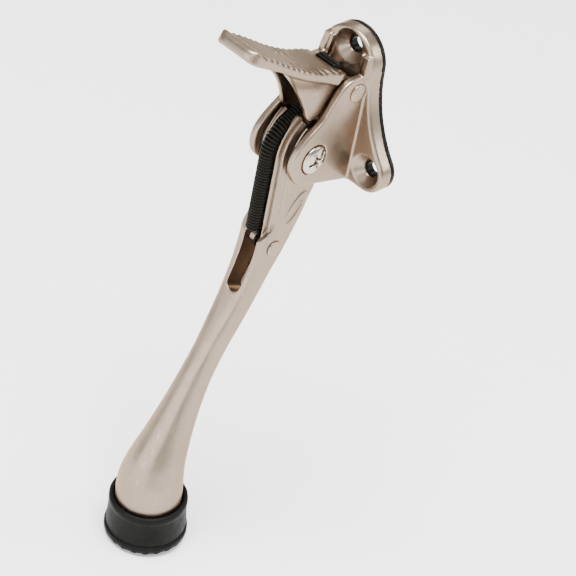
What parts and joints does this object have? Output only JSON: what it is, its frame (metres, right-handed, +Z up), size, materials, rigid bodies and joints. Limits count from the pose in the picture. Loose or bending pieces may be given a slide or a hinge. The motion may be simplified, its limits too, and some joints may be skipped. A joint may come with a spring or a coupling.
{
  "type": "kick-down door holder",
  "caption": "Kick-down door holder: cast satin-nickel bracket, swinging arm with a rubber foot, ridged release pedal and a lift spring",
  "frame": {"origin": "on the door face (back of the gasket), midway between the two lower screw holes", "axes": "+X along the hinge pins, +Y into the door, +Z up"},
  "size_m": [0.046, 0.0717, 0.186],
  "materials": {
    "cast_nickel": "satin nickel plate on cast zinc",
    "pin_nickel": "satin nickel, riveted ends",
    "bright_steel": "bright nickel-plated steel",
    "spring_steel": "black oxide spring wire",
    "foot_rubber": "matt moulded rubber",
    "black_rubber": "matt rubber sheet and moulding",
    "washer_black": "dark friction washers"
  },
  "bodies": {
    "bracket": {"base_bracket": "cast_nickel", "mounting_gasket": "black_rubber", "pivot_screw": "bright_steel", "pivot_barrel_nut": "bright_steel", "friction_washers": "washer_black", "pedal_pin": "pin_nickel", "lift_spring": "spring_steel", "pedal_return_spring": "spring_steel"},
    "arm": {"swing_arm": "cast_nickel", "spring_pin": "pin_nickel", "rubber_foot": "foot_rubber"},
    "pedal": {"release_pedal": "cast_nickel", "pedal_buffer": "black_rubber"}
  },
  "joints": [
    {"name": "arm_swing", "type": "hinge", "parent": "bracket", "child": "arm", "pos_m": [0, -0.023, 0.0064], "axis": [-1, 0, 0], "range_deg": [-5, 50], "deforming": ["lift_spring"]},
    {"name": "pedal_press", "type": "hinge", "parent": "bracket", "child": "pedal", "pos_m": [0, -0.0092, 0.0257], "axis": [1, 0, 0], "range_deg": [0, 6], "stiffness_Nm_per_rad": 0.05, "springref_deg": -11.46, "deforming": ["pedal_return_spring"]}
  ]
}
